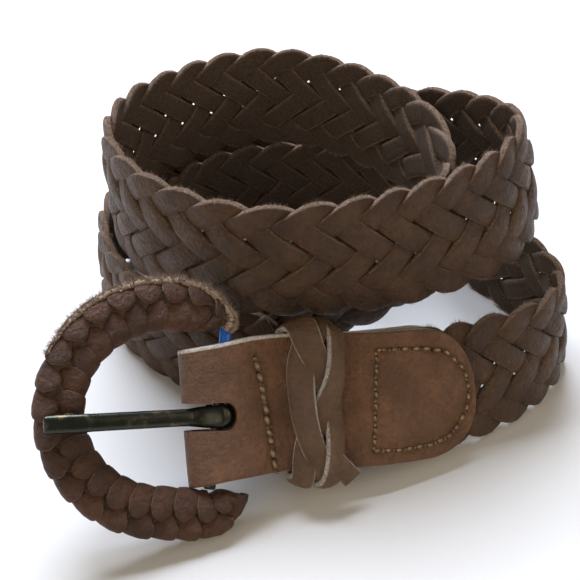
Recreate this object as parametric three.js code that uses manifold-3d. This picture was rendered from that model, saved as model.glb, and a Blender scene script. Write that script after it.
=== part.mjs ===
// A braided leather belt with a leather-laced D buckle, lying in a loose coil on a flat surface.
// Millimetres, +Z up. The design frame has the axis of the upper coil at X = Y = 0 and the
// surface at Z = 0. The finished group is shifted so that its origin is the centre of its base.

import * as THREE from "three";
import { mergeVertices } from "three/addons/utils/BufferGeometryUtils.js";
import Module from "manifold-3d";

const wasm = await Module();
wasm.setup();

// Driving dimensions of the leather
const clearance = 0.3; // gap between pieces that touch
const strapWidth = 34; // across the braid
const braidThickness = 4.4; // two strands lying over each other
const braidPitch = 11.5; // from one edge scallop to the next
const scallopDepth = 0.9;
const stripThickness = 2; // smooth leather of the tab
const sandwichGap = 0.45; // between the braid and each layer of the tab round it
const braidSpacing = 0.6; // between coils that lie against or on each other

// Driving dimensions of the coil
const coilRadius = 50;
const braidStart = 52; // hidden start of the braid inside the tab, from the fold

// Driving dimensions of the tab
const tabWidth = 35;
const foldWidth = 34;
const tabLength = 78.5;
const tabRounding = 17; // length of the rounded end
const stitchStation = 20; // where the two layers are sewn together, from the fold
const barStation = 8.2; // where the crossbar lies in the fold
const foldDepth = 3.2;
const foldSkew = 4; // degrees that the fold is off square to the strap

// Driving dimensions of the buckle
const barRadius = 1.5;
const buckleTurn = 16; // degrees that the ring and its crossbar are turned in their own plane
const ringReach = 38.9; // from the crossbar to the middle of the ring's far side
const ringStraight = 12.8; // from the crossbar to where the far curve starts
const ringThickness = 6.6;
const ringSideWidth = 11.9;
const ringFarWidth = 11.4;
const ringEndWidth = 8;
const ringToe = 2.2; // how far the upper arm ends short of the crossbar
const ringHeel = 5.4; // how far the lower arm goes past it
const sideGap = 0.8; // between the ring and the folded tab
const leafPairs = 20;
const leafRelief = 0.5;

// Driving dimensions of the prong
const prongTurn = 9; // degrees that the prong and its slot are turned
const prongOffset = -0.9; // from the middle of the crossbar
const prongWidth = 4.3;
const prongThickness = 2.8;
const prongEyeWidth = 5.7;
const prongEyeWall = 1.3;
const prongEyeGap = 0.7; // round the crossbar, which lies askew in the eye
const prongOverhang = 3.8; // past the middle of the ring's far side
const slotGap = 0.6;

// Driving dimensions of the keeper
const keeperStation = 31;
const keeperWidth = 15.5;
const keeperThickness = 3.6;
const keeperPitch = 23; // from one bulge of its edge to the next
const keeperScallop = 1.8; // how deep its edge is cut between two bulges
const keeperSlack = 1; // how far the loop hangs below the tab
const keeperTailLength = 9;
const keeperTailWidth = 5.5;

const lift = strapWidth + braidSpacing; // one strap width up
const layer = braidThickness + braidSpacing; // one strap thickness out
const rad = THREE.MathUtils.degToRad;

// The route of the strap's lower edge round the coil's axis, counter-clockwise from the fold.
// radius is a share of coilRadius, out counts strap thicknesses added to it, and a leaning
// strap's lower edge moves out further. up is a share of lift, and lean is in degrees inwards.
const routeColumns = ["angle", "radius", "out", "up", "lean"];
const route = [
  [-103, 1.05, 3, 0.33, 41],
  [-89, 0.87, 3, 0.27, 39],
  [-76, 0.86, 3, 0.18, 36],
  [-65, 0.9, 3, 0.11, 33],
  [-53, 1.01, 3, 0.05, 28],
  [-43, 1.14, 3, 0.025, 22],
  [-35, 1.28, 3, 0.015, 15],
  [-26, 1.39, 3, 0.01, 10],
  [-18, 1.38, 3, 0.01, 10],
  [-11, 1.28, 3, 0.01, 8],
  [-4, 1.15, 3, 0.005, 3],
  [5, 1.03, 3, 0, 0],
  [18, 1.19, 0, 0, 0],
  [32, 1.12, 0, 0, 0],
  [46, 1.07, 0, 0, 0],
  [62, 1, 0, 0, 0],
  [80, 0.93, 0, 0, 0],
  [100, 0.88, 0, 0, 0],
  [120, 0.87, 0, 0, 0],
  [140, 0.85, 0, 0, 0],
  [162, 0.8, 0, 0.005, 0],
  [188, 0.75, 0, 0.05, 0],
  [220, 0.74, 0, 0.2, 0],
  [253, 0.84, -1, 0.34, 0],
  [284, 0.89, -1, 0.49, 2],
  [312, 0.96, -1, 0.68, 6],
  [333, 1.05, -1, 0.83, 5],
  [348, 1.05, -1, 0.92, 0],
  [364, 0.88, 0, 1, 0],
  [386, 0.82, 0, 1, 0],
  [408, 0.81, 0, 1, 0],
  [430, 0.85, 0, 1, 0],
  [452, 0.9, 0, 1, 0],
  [476, 0.9, 0, 1, 0],
  [500, 0.9, 0, 1, 0],
  [522, 0.95, 0, 1, 0],
  [548, 0.98, 0, 1, 0],
  [574, 0.95, 0, 1, 2],
  [594, 0.94, 0, 1, 2],
  [612, 0.96, 0, 1, 0],
  [630, 0.97, 0, 1, 0],
  [648, 0.96, 0, 1, 4],
  [664, 0.99, 0, 1.01, 9],
  [680, 1.1, 0, 1.05, 13],
  [692, 1.2, 0, 1.09, 17],
  [702, 1.18, 1, 1.11, 17],
  [712, 1.24, 1, 1.12, 15],
  [722, 1.23, 1, 1.06, 13],
  [732, 1.18, 1, 0.97, 10],
  [743, 1.12, 1, 0.86, 7],
  [756, 1.08, 1, 0.7, 4],
  [770, 1.07, 1, 0.53, 0],
  [786, 1.02, 1, 0.44, 0],
  [806, 1, 1, 0.29, 0],
  [828, 1.01, 1, 0.12, 0],
  [850, 1.04, 1, 0.03, 0],
  [872, 1.04, 1, 0.01, 2],
  [890, 1.02, 1, 0.01, 4],
  [908, 1.08, 0, 0.005, 3],
  [924, 1.04, 0, 0, 1],
  [938, 1.01, 0, 0, 0],
  [952, 0.99, 0, 0, 0],
  [966, 0.98, 0, 0, 0],
  [978, 0.96, 0, 0, 0],
  [988, 0.94, 0, 0, 0],
].map((row) => Object.fromEntries(row.map((value, i) => [routeColumns[i], value])));

const lowerEdge = new THREE.CatmullRomCurve3(
  route.map(({ angle, radius, out, up, lean }) => {
    const r = coilRadius * radius + layer * out + strapWidth * Math.sin(rad(lean));
    return new THREE.Vector3(r * Math.cos(rad(angle)), r * Math.sin(rad(angle)), up * lift);
  }),
  false,
  "centripetal",
);
lowerEdge.arcLengthDivisions = 4000;
const routeLength = lowerEdge.getLength();

// The lean as a smooth curve over the rows, read from its X.
const leanCurve = new THREE.CatmullRomCurve3(
  route.map(({ lean }, row) => new THREE.Vector3(lean, row, 0)),
  false,
  "catmullrom",
  0.5,
);

// The strap's frame at a distance from the fold: along it, across its width and out of the coil.
function frameAt(station) {
  const u = THREE.MathUtils.clamp(station / routeLength, 0, 1);
  const t = lowerEdge.getUtoTmapping(u);
  const along = lowerEdge.getTangent(t);
  const outward = new THREE.Vector3(along.y, -along.x, 0).normalize();
  const lean = rad(leanCurve.getPoint(t).x);
  const across = new THREE.Vector3(0, 0, Math.cos(lean)).addScaledVector(outward, -Math.sin(lean));
  across.addScaledVector(along, -across.dot(along)).normalize();
  const out = new THREE.Vector3().crossVectors(along, across);
  const middle = lowerEdge.getPoint(t).addScaledVector(across, strapWidth / 2);
  middle.addScaledVector(along, station - u * routeLength);
  return { middle, along, across, out };
}

// A point of the strap: its distance from the fold, out of the middle plane and across the width.
function onStrap(station, outwards, widthwise) {
  const { middle, across, out } = frameAt(station);
  return middle.addScaledVector(out, outwards).addScaledVector(across, widthwise);
}

// One closed body through rings of points, capped at both ends or joined end to end.
// Each ring runs clockwise seen against the direction of travel.
function loft(rings, joined = false) {
  const sides = rings[0].length;
  const steps = joined ? rings.length : rings.length - 1;
  const index = [];
  for (let i = 0; i < steps; i++) {
    for (let j = 0; j < sides; j++) {
      const a = i * sides + j;
      const b = i * sides + ((j + 1) % sides);
      const c = ((i + 1) % rings.length) * sides + ((j + 1) % sides);
      const d = ((i + 1) % rings.length) * sides + j;
      index.push(a, c, b, a, d, c);
    }
  }
  const last = (rings.length - 1) * sides;
  for (let j = 1; j < sides - 1 && !joined; j++) {
    index.push(0, j, j + 1, last, last + j + 1, last + j);
  }
  const geometry = new THREE.BufferGeometry().setFromPoints(rings.flat());
  geometry.setIndex(index);
  geometry.computeVertexNormals();
  return geometry;
}

function toSolid(geometry) {
  const bare = geometry.clone();
  bare.deleteAttribute("normal");
  bare.deleteAttribute("uv");
  const merged = mergeVertices(bare, 1e-4);
  return new wasm.Manifold(
    new wasm.Mesh({
      numProp: 3,
      vertProperties: merged.attributes.position.array,
      triVerts: new Uint32Array(merged.index.array),
    }),
  );
}

function toGeometry(solid) {
  const mesh = solid.getMesh();
  const geometry = new THREE.BufferGeometry();
  geometry.setAttribute("position", new THREE.BufferAttribute(mesh.vertProperties, 3));
  geometry.setIndex(new THREE.BufferAttribute(mesh.triVerts, 1));
  geometry.computeVertexNormals();
  return geometry;
}

// A flat strip's section: a rectangle with cut corners, as [outwards, widthwise] pairs.
function stripSection(thickness, low, high) {
  const cut = 0.22 * thickness;
  const half = thickness / 2;
  return [
    [-half, low + cut],
    [-half + cut, low],
    [half - cut, low],
    [half, low + cut],
    [half, high - cut],
    [half - cut, high],
    [-half + cut, high],
    [-half, high - cut],
  ];
}

// How deep each edge is cut at four places of one pitch: the scallops of the two edges alternate.
const scallops = [
  { share: 0.05, high: 0, low: 1 },
  { share: 0.45, high: 0, low: 1 },
  { share: 0.55, high: 1, low: 0 },
  { share: 0.95, high: 1, low: 0 },
];

// The braided strap: one solid with scalloped edges, from inside the tab to its free end.
function makeStrap() {
  const pitches = Math.round((routeLength - braidStart) / braidPitch);
  const pitch = (routeLength - braidStart) / pitches;
  const rings = [];
  for (let i = 0; i < pitches; i++) {
    for (const { share, high, low } of scallops) {
      const edgeLow = -strapWidth / 2 + low * scallopDepth;
      const edgeHigh = strapWidth / 2 - high * scallopDepth;
      const station = braidStart + (i + share) * pitch;
      rings.push(
        stripSection(braidThickness, edgeLow, edgeHigh).map(([outwards, widthwise]) =>
          onStrap(station, outwards, widthwise),
        ),
      );
    }
  }
  return loft(rings);
}

// Distance of each tab layer from the strap's middle plane, where it holds the braid, is sewn
// to the other layer, and lies over the crossbar.
const sandwichHalf = braidThickness / 2 + sandwichGap + stripThickness / 2;
const sewnHalf = stripThickness / 2 + clearance;
const barHalf = barRadius + clearance + stripThickness / 2 + clearance;

// One layer from the rounded end to the fold. along is a share of the stretch between the
// crossbar's, the stitching's and the braid's places, and width a share of the tab's.
function tabLayer() {
  const rows = [];
  const straight = tabLength - tabRounding;
  for (const turn of [84, 70, 56, 42, 28, 14]) {
    const width = Math.cos(rad(turn)) ** 0.8;
    rows.push({ station: straight + tabRounding * Math.sin(rad(turn)), half: sandwichHalf, width });
  }
  for (const share of [1, 0.6, 0.2]) {
    const station = THREE.MathUtils.lerp(braidStart, straight, share);
    rows.push({ station, half: sandwichHalf, width: 1 });
  }
  const ramp = braidStart - stitchStation;
  for (const { along, rise } of [
    { along: 0.95, rise: 1 },
    { along: 0.8, rise: 0.86 },
    { along: 0.58, rise: 0.3 },
    { along: 0.34, rise: 0.06 },
    { along: 0, rise: 0 },
  ]) {
    const half = THREE.MathUtils.lerp(sewnHalf, sandwichHalf, rise);
    rows.push({ station: stitchStation + along * ramp, half, width: 1 });
  }
  const loop = stitchStation - barStation;
  for (const { along, rise } of [
    { along: 0.75, rise: 0.36 },
    { along: 0.5, rise: 0.84 },
    { along: 0.25, rise: 1 },
    { along: 0, rise: 1 },
  ]) {
    const half = THREE.MathUtils.lerp(sewnHalf, barHalf, rise);
    rows.push({ station: barStation + along * loop, half, width: 1 });
  }
  return rows;
}

// The middle line of the whole folded strip, from the front layer's end round to the back's.
function tabLine() {
  const layerRows = tabLayer();
  const foldTurns = [90, 65, 40, 15, -15, -40, -65, -90];
  const fold = foldTurns.map((turn) => ({
    station: foldDepth * (1 - Math.cos(rad(turn))),
    outwards: 0.9 * barHalf * Math.sin(rad(turn)),
    width: 1,
  }));
  const side = (sign) =>
    layerRows.map(({ station, half, width }) => ({ station, outwards: sign * half, width }));
  return [...side(1), ...fold, ...side(-1).reverse()];
}

// The folded tab, with the slot for the prong cut through its fold. The fold is a little off
// square, which fades out towards the stitching.
function makeTab(prongPlace) {
  const line = tabLine();
  const rings = line.map(({ station, outwards, width }, i) => {
    const before = line[Math.max(i - 1, 0)];
    const after = line[Math.min(i + 1, line.length - 1)];
    const run = new THREE.Vector2(after.station - before.station, after.outwards - before.outwards);
    run.setLength(stripThickness / 2);
    const ease = THREE.MathUtils.smoothstep(station, barStation, stitchStation);
    const half = (THREE.MathUtils.lerp(foldWidth, tabWidth, ease) / 2) * width;
    const skew = half * Math.tan(rad(foldSkew)) * (1 - ease);
    return [
      onStrap(station + run.y - skew, outwards - run.x, -half),
      onStrap(station - run.y - skew, outwards + run.x, -half),
      onStrap(station - run.y + skew, outwards + run.x, half),
      onStrap(station + run.y + skew, outwards - run.x, half),
    ];
  });
  const slotHalf = prongEyeWidth / 2 + slotGap;
  const slotEnd = eyeRadius + slotGap;
  const slotReach = barStation + stripThickness;
  const outline = new THREE.Shape();
  outline.moveTo(-slotReach, prongOffset - slotHalf);
  outline.lineTo(slotEnd - slotHalf / 2, prongOffset - slotHalf);
  outline.quadraticCurveTo(slotEnd, prongOffset - slotHalf, slotEnd, prongOffset);
  outline.quadraticCurveTo(
    slotEnd,
    prongOffset + slotHalf,
    slotEnd - slotHalf / 2,
    prongOffset + slotHalf,
  );
  outline.lineTo(-slotReach, prongOffset + slotHalf);
  const depth = 4 * (barHalf + stripThickness);
  const cutter = new THREE.ExtrudeGeometry(outline, { depth, bevelEnabled: false, curveSegments: 4 });
  cutter.translate(0, 0, -depth / 2);
  cutter.applyMatrix4(prongPlace);
  return toGeometry(toSolid(loft(rings)).subtract(toSolid(cutter)));
}

// The buckle's own frame: X along the strap, Y along the crossbar, Z out of the front.
function placeBuckle(group) {
  const { middle, along, across, out } = frameAt(barStation);
  const turn = rad(buckleTurn);
  const x = along.clone().multiplyScalar(Math.cos(turn)).addScaledVector(across, -Math.sin(turn));
  const y = across.clone().multiplyScalar(Math.cos(turn)).addScaledVector(along, Math.sin(turn));
  group.quaternion.setFromRotationMatrix(new THREE.Matrix4().makeBasis(x, y, out));
  group.position.copy(middle);
  group.updateMatrix();
}

const turnedHalfWidth =
  (foldWidth / 2) * Math.cos(rad(buckleTurn)) + barStation * Math.sin(rad(buckleTurn));
const ringInnerHalf = turnedHalfWidth + sideGap;
const ringMiddleHalf = ringInnerHalf + ringSideWidth / 2;
const barHalfLength = ringInnerHalf - clearance;

// The ring's middle line from its upper arm's end round the far side to its lower arm's end.
// Each arm turns in at its end, the upper one short of the crossbar and the lower one past it.
function ringLine() {
  const path = new THREE.CurvePath();
  const endRadius = ringMiddleHalf - ringInnerHalf;
  const upperBend = -ringToe - endRadius;
  const lowerBend = ringHeel - endRadius;
  const quarter = (cx, cy, rx, ry, from, to) =>
    new THREE.EllipseCurve(cx, cy, rx, ry, rad(from), rad(to), false);
  const straight = (from, to, y) =>
    new THREE.LineCurve(new THREE.Vector2(from, y), new THREE.Vector2(to, y));
  path.add(quarter(upperBend, ringInnerHalf, endRadius, endRadius, 0, 90));
  path.add(straight(upperBend, -ringStraight, ringMiddleHalf));
  path.add(quarter(-ringStraight, 0, ringReach - ringStraight, ringMiddleHalf, 90, 270));
  path.add(straight(-ringStraight, lowerBend, -ringMiddleHalf));
  path.add(quarter(lowerBend, -ringInnerHalf, endRadius, endRadius, 270, 360));
  return path;
}

// The leather lacing round the ring as one solid, with a low ripple where its leaves lie.
function makeWrap() {
  const path = ringLine();
  path.arcLengthDivisions = 800;
  const stepsPerLeaf = 3;
  const steps = leafPairs * stepsPerLeaf;
  const sides = 10;
  const rings = [];
  for (let i = 0; i <= steps; i++) {
    const u = i / steps;
    const middle = path.getPointAt(u);
    const tangent = path.getTangentAt(u);
    const fromEnd = Math.min(u, 1 - u);
    const grown = THREE.MathUtils.smoothstep(fromEnd, 0, 0.12);
    const far = THREE.MathUtils.smoothstep(fromEnd, 0.25, 0.5);
    const sideWidth = THREE.MathUtils.lerp(ringSideWidth, ringFarWidth, far);
    const ripple = i % stepsPerLeaf === 0 ? leafRelief * grown : 0;
    const width = THREE.MathUtils.lerp(ringEndWidth, sideWidth, grown) - 2 * ripple;
    const ring = [];
    for (let j = 0; j < sides; j++) {
      const turn = (2 * Math.PI * j) / sides;
      const flat = (value) => Math.sign(value) * Math.abs(value) ** 0.75;
      const sideways = (width / 2) * flat(Math.cos(turn));
      const outwards = ((ringThickness - ripple) / 2) * flat(Math.sin(turn));
      ring.push(
        new THREE.Vector3(
          middle.x + tangent.y * sideways,
          middle.y - tangent.x * sideways,
          outwards,
        ),
      );
    }
    rings.push(ring);
  }
  return loft(rings);
}

function makeBar() {
  return new THREE.CylinderGeometry(barRadius, barRadius, 2 * barHalfLength, 16);
}

const eyeMiddle = barRadius + prongEyeGap + prongEyeWall / 2;
const eyeRadius = eyeMiddle + prongEyeWall / 2;

// The prong: bent round the crossbar, then straight to its tip, which lies on the ring.
function makeProng() {
  const restHeight = ringThickness / 2 + clearance + prongThickness / 2;
  const rows = [];
  for (const turn of [-30, -62, -95, -128, -160, -192, -224, -250, -270]) {
    rows.push({
      x: -eyeMiddle * Math.cos(rad(turn)),
      z: eyeMiddle * Math.sin(rad(turn)),
      width: prongEyeWidth,
      thickness: prongEyeWall,
    });
  }
  const reach = ringReach + prongOverhang;
  for (const { along, rise, wide, thick } of [
    { along: 0.07, rise: 0.36, wide: 0.85, thick: 0.6 },
    { along: 0.12, rise: 0.2, wide: 0.5, thick: 0.95 },
    { along: 0.165, rise: 0.2, wide: 0.15, thick: 1 },
    { along: 0.195, rise: 0.25, wide: 0, thick: 1 },
    { along: 0.45, rise: 0.55, wide: 0, thick: 1 },
    { along: 0.72, rise: 0.91, wide: 0, thick: 1 },
    { along: 0.79, rise: 1, wide: 0.1, thick: 1 },
    { along: 0.95, rise: 1, wide: 0.05, thick: 1 },
    { along: 1, rise: 1, wide: -0.6, thick: 0.6 },
  ]) {
    rows.push({
      x: -reach * along,
      z: restHeight * rise,
      width: THREE.MathUtils.lerp(prongWidth, prongEyeWidth, wide),
      thickness: prongThickness * thick,
    });
  }
  const sides = 8;
  const rings = rows.map(({ x, z, width, thickness }, i) => {
    const before = rows[Math.max(i - 1, 0)];
    const after = rows[Math.min(i + 1, rows.length - 1)];
    const run = new THREE.Vector2(after.x - before.x, after.z - before.z).normalize();
    const ring = [];
    for (let j = 0; j < sides; j++) {
      const turn = (2 * Math.PI * (j + 0.5)) / sides;
      const high = ((thickness / 2) * Math.sin(turn)) / Math.cos(Math.PI / sides);
      const wide = ((width / 2) * Math.cos(turn)) / Math.cos(Math.PI / sides);
      ring.push(new THREE.Vector3(x + run.y * high, prongOffset + wide, z - run.x * high));
    }
    return ring;
  });
  return loft(rings);
}

// The keeper: a braided loop round the tab, slack below, with the cut end of one strip.
function makeKeeper() {
  const inset = stripThickness / 2 + clearance + keeperThickness / 2;
  const outwards = sewnHalf + inset + 0.6 * stripThickness;
  const top = tabWidth / 2 + clearance + keeperThickness / 2;
  const bottom = top + keeperSlack;
  const corner = keeperThickness;
  const outline = new THREE.Shape();
  outline.moveTo(outwards - corner, -bottom);
  outline.quadraticCurveTo(outwards, -bottom, outwards, corner - bottom);
  outline.lineTo(outwards, top - corner);
  outline.quadraticCurveTo(outwards, top, outwards - corner, top);
  outline.lineTo(corner - outwards, top);
  outline.quadraticCurveTo(-outwards, top, -outwards, top - corner);
  outline.lineTo(-outwards, corner - bottom);
  outline.quadraticCurveTo(-outwards, -bottom, corner - outwards, -bottom);
  outline.closePath();
  const pitches = Math.round(outline.getLength() / keeperPitch);
  const stepsPerPitch = 10;
  const steps = pitches * stepsPerPitch;
  const rings = [];
  for (let i = 0; i < steps; i++) {
    const point = outline.getPointAt(i / steps);
    const run = outline.getTangentAt(i / steps);
    const wave = Math.cos((2 * Math.PI * i) / stepsPerPitch);
    const low = -keeperWidth / 2 + (keeperScallop * (1 - wave)) / 2;
    const high = keeperWidth / 2 - (keeperScallop * (1 + wave)) / 2;
    rings.push(
      stripSection(keeperThickness, low, high).map(([thick, wide]) =>
        onStrap(keeperStation + wide, point.x - run.y * thick, point.y + run.x * thick),
      ),
    );
  }
  const tailStart = keeperWidth / 2 - keeperTailWidth;
  const tail = [0, 1].map((share) =>
    stripSection(stripThickness, 0, keeperTailWidth).map(([thick, wide]) =>
      onStrap(
        keeperStation + tailStart + share * keeperTailLength,
        outwards + stripThickness / 4 + thick,
        wide - tabWidth / 2 + keeperTailLength * (0.4 - 0.45 * share),
      ),
    ),
  );
  return toGeometry(toSolid(loft(rings, true)).add(toSolid(loft(tail))));
}

const leather = (color, roughness) => new THREE.MeshStandardMaterial({ color, roughness });
const materials = {
  braid: leather("#6f4a38", 0.6),
  smooth: leather("#7d5340", 0.55),
  lacing: leather("#6d4434", 0.55),
  keeper: leather("#84604c", 0.55),
  bar: new THREE.MeshStandardMaterial({ color: "#1f6fe0", roughness: 0.4, metalness: 0 }),
  prong: new THREE.MeshStandardMaterial({ color: "#2a2c28", roughness: 0.35, metalness: 1 }),
};

function named(name, geometry, material) {
  const mesh = new THREE.Mesh(geometry, material);
  mesh.name = name;
  return mesh;
}

const buckle = new THREE.Group();
placeBuckle(buckle);
const turnedProng = new THREE.Group();
turnedProng.rotation.z = rad(buckleTurn - prongTurn);
turnedProng.add(named("prong", makeProng(), materials.prong));
buckle.add(
  named("buckle_wrap", makeWrap(), materials.lacing),
  named("crossbar", makeBar(), materials.bar),
  turnedProng,
);
buckle.updateMatrixWorld(true);

const belt = new THREE.Group();
belt.add(
  named("braided_strap", makeStrap(), materials.braid),
  named("buckle_tab", makeTab(turnedProng.matrixWorld), materials.smooth),
  named("keeper", makeKeeper(), materials.keeper),
  buckle,
);

// The origin goes to the centre of the base, on the surface that the belt lies on.
const bounds = new THREE.Box3().setFromObject(belt, true);
const centre = bounds.getCenter(new THREE.Vector3());
belt.position.set(-centre.x, -centre.y, -bounds.min.z);

const group = new THREE.Group();
group.add(belt);

export default group;
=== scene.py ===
import math

import bpy
import numpy as np
from mathutils import Matrix, Vector


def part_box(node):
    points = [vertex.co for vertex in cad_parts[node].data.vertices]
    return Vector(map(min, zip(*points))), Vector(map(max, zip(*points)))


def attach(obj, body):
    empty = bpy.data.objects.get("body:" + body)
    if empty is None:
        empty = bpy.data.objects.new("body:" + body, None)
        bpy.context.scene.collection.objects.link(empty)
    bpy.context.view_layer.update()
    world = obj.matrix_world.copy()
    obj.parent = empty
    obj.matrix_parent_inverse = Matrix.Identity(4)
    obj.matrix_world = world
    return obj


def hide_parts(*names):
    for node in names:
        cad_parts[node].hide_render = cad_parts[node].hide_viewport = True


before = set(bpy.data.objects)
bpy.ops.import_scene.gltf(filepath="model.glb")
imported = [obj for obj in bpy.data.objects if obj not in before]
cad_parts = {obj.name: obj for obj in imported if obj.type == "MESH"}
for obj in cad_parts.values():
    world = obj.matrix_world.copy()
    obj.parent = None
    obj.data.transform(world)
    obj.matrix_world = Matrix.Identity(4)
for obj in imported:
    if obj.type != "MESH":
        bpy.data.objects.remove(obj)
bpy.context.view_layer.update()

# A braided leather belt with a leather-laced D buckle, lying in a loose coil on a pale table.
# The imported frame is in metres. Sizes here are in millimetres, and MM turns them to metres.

MM = 0.001

# The table, the light and the view
# The belt lies on a plain pale table. A large window behind it lights the upper edges, and
# a wide soft light in front fills the shade. The camera looks down at the buckle's side.

bar_middle_in_frame = sum(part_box("crossbar"), Vector()) / 2


def linear(hex_colour):
    """An sRGB hex colour as linear RGBA."""
    channels = [int(hex_colour[i : i + 2], 16) / 255 for i in (1, 3, 5)]
    return [c / 12.92 if c <= 0.04045 else ((c + 0.055) / 1.055) ** 2.4 for c in channels] + [1]


def add(tree, kind, inputs=None, **settings):
    """Adds a node to a material, sets its properties, and sets or links its inputs."""
    made = tree.nodes.new(kind)
    for name, value in settings.items():
        setattr(made, name, value)
    for key, value in (inputs or {}).items():
        if isinstance(value, bpy.types.NodeSocket):
            tree.links.new(value, made.inputs[key])
        else:
            made.inputs[key].default_value = value
    return made


def new_material(name):
    """An empty node material, with its shader."""
    material = bpy.data.materials.new(name)
    material.use_nodes = True
    shader = material.node_tree.nodes["Principled BSDF"]
    return material, material.node_tree, shader


def plain_table():
    """Matt painted board, nearly white: it gives soft, slightly warm bounce light."""
    material, tree, shader = new_material("matt painted board")
    shader.inputs["Base Color"].default_value = linear("#dcd8cf")
    shader.inputs["Roughness"].default_value = 0.75
    return material


bpy.ops.object.select_all(action="DESELECT")
bpy.ops.mesh.primitive_plane_add(size=6)
table = bpy.context.object
table.name = "table"
table.data.materials.append(plain_table())


def window(name, place, target, size, watts, colour):
    """A soft area light at a place, turned to a target, all in metres."""
    light = bpy.data.lights.new(name, "AREA")
    light.shape = "RECTANGLE"
    light.size, light.size_y = size
    light.energy = watts
    light.color = linear(colour)[:3]
    made = bpy.data.objects.new(name, light)
    bpy.context.scene.collection.objects.link(made)
    made.location = place
    made.rotation_euler = (Vector(target) - Vector(place)).to_track_quat("-Z", "Y").to_euler()


window("window behind", (-0.2, 0.62, 0.95), (0, 0, 0.03), (0.8, 0.5), 30, "#dfe9ff")
window("fill in front", (-0.5, -0.9, 0.6), (0, 0, 0.03), (1.2, 0.8), 4.2, "#ffefd8")
window("fill at right", (0.9, -0.1, 0.5), (0, 0, 0.03), (0.8, 0.6), 2.5, "#ffefd8")
world = bpy.data.worlds.new("soft studio")
world.use_nodes = True
world.node_tree.nodes["Background"].inputs["Color"].default_value = linear("#f4f4f6")
world.node_tree.nodes["Background"].inputs["Strength"].default_value = 0.2
bpy.context.scene.world = world
bpy.context.scene.view_settings.view_transform = "Standard"

# The band's route
# The belt is one band, coiled by hand: from the buckle it runs right, round the floor, up
# inside the front, round on top and down again behind. Everything on it follows this route.

strap_width = 34
braid_thickness = 4.4
braid_spacing = 0.6
coil_radius = 50
bar_station = 8.2
lift = strap_width + braid_spacing
layer = braid_thickness + braid_spacing

# Angle in degrees round the coil's axis, radius as a share of coil_radius, out in strap
# thicknesses, up as a share of lift, and lean inwards in degrees, of the band's lower edge.
route = np.array([
    (-103, 1.05, 3, 0.33, 41),
    (-89, 0.87, 3, 0.27, 39),
    (-76, 0.86, 3, 0.18, 36),
    (-65, 0.9, 3, 0.11, 33),
    (-53, 1.01, 3, 0.05, 28),
    (-43, 1.14, 3, 0.025, 22),
    (-35, 1.28, 3, 0.015, 15),
    (-26, 1.39, 3, 0.01, 10),
    (-18, 1.38, 3, 0.01, 10),
    (-11, 1.28, 3, 0.01, 8),
    (-4, 1.15, 3, 0.005, 3),
    (5, 1.03, 3, 0, 0),
    (18, 1.19, 0, 0, 0),
    (32, 1.12, 0, 0, 0),
    (46, 1.07, 0, 0, 0),
    (62, 1, 0, 0, 0),
    (80, 0.93, 0, 0, 0),
    (100, 0.88, 0, 0, 0),
    (120, 0.87, 0, 0, 0),
    (140, 0.85, 0, 0, 0),
    (162, 0.8, 0, 0.005, 0),
    (188, 0.75, 0, 0.05, 0),
    (220, 0.74, 0, 0.2, 0),
    (253, 0.84, -1, 0.34, 0),
    (284, 0.89, -1, 0.49, 2),
    (312, 0.96, -1, 0.68, 6),
    (333, 1.05, -1, 0.83, 5),
    (348, 1.05, -1, 0.92, 0),
    (364, 0.88, 0, 1, 0),
    (386, 0.82, 0, 1, 0),
    (408, 0.81, 0, 1, 0),
    (430, 0.85, 0, 1, 0),
    (452, 0.9, 0, 1, 0),
    (476, 0.9, 0, 1, 0),
    (500, 0.9, 0, 1, 0),
    (522, 0.95, 0, 1, 0),
    (548, 0.98, 0, 1, 0),
    (574, 0.95, 0, 1, 2),
    (594, 0.94, 0, 1, 2),
    (612, 0.96, 0, 1, 0),
    (630, 0.97, 0, 1, 0),
    (648, 0.96, 0, 1, 4),
    (664, 0.99, 0, 1.01, 9),
    (680, 1.1, 0, 1.05, 13),
    (692, 1.2, 0, 1.09, 17),
    (702, 1.18, 1, 1.11, 17),
    (712, 1.24, 1, 1.12, 15),
    (722, 1.23, 1, 1.06, 13),
    (732, 1.18, 1, 0.97, 10),
    (743, 1.12, 1, 0.86, 7),
    (756, 1.08, 1, 0.7, 4),
    (770, 1.07, 1, 0.53, 0),
    (786, 1.02, 1, 0.44, 0),
    (806, 1, 1, 0.29, 0),
    (828, 1.01, 1, 0.12, 0),
    (850, 1.04, 1, 0.03, 0),
    (872, 1.04, 1, 0.01, 2),
    (890, 1.02, 1, 0.01, 4),
    (908, 1.08, 0, 0.005, 3),
    (924, 1.04, 0, 0, 1),
    (938, 1.01, 0, 0, 0),
    (952, 0.99, 0, 0, 0),
    (966, 0.98, 0, 0, 0),
    (978, 0.96, 0, 0, 0),
    (988, 0.94, 0, 0, 0),
])


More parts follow.
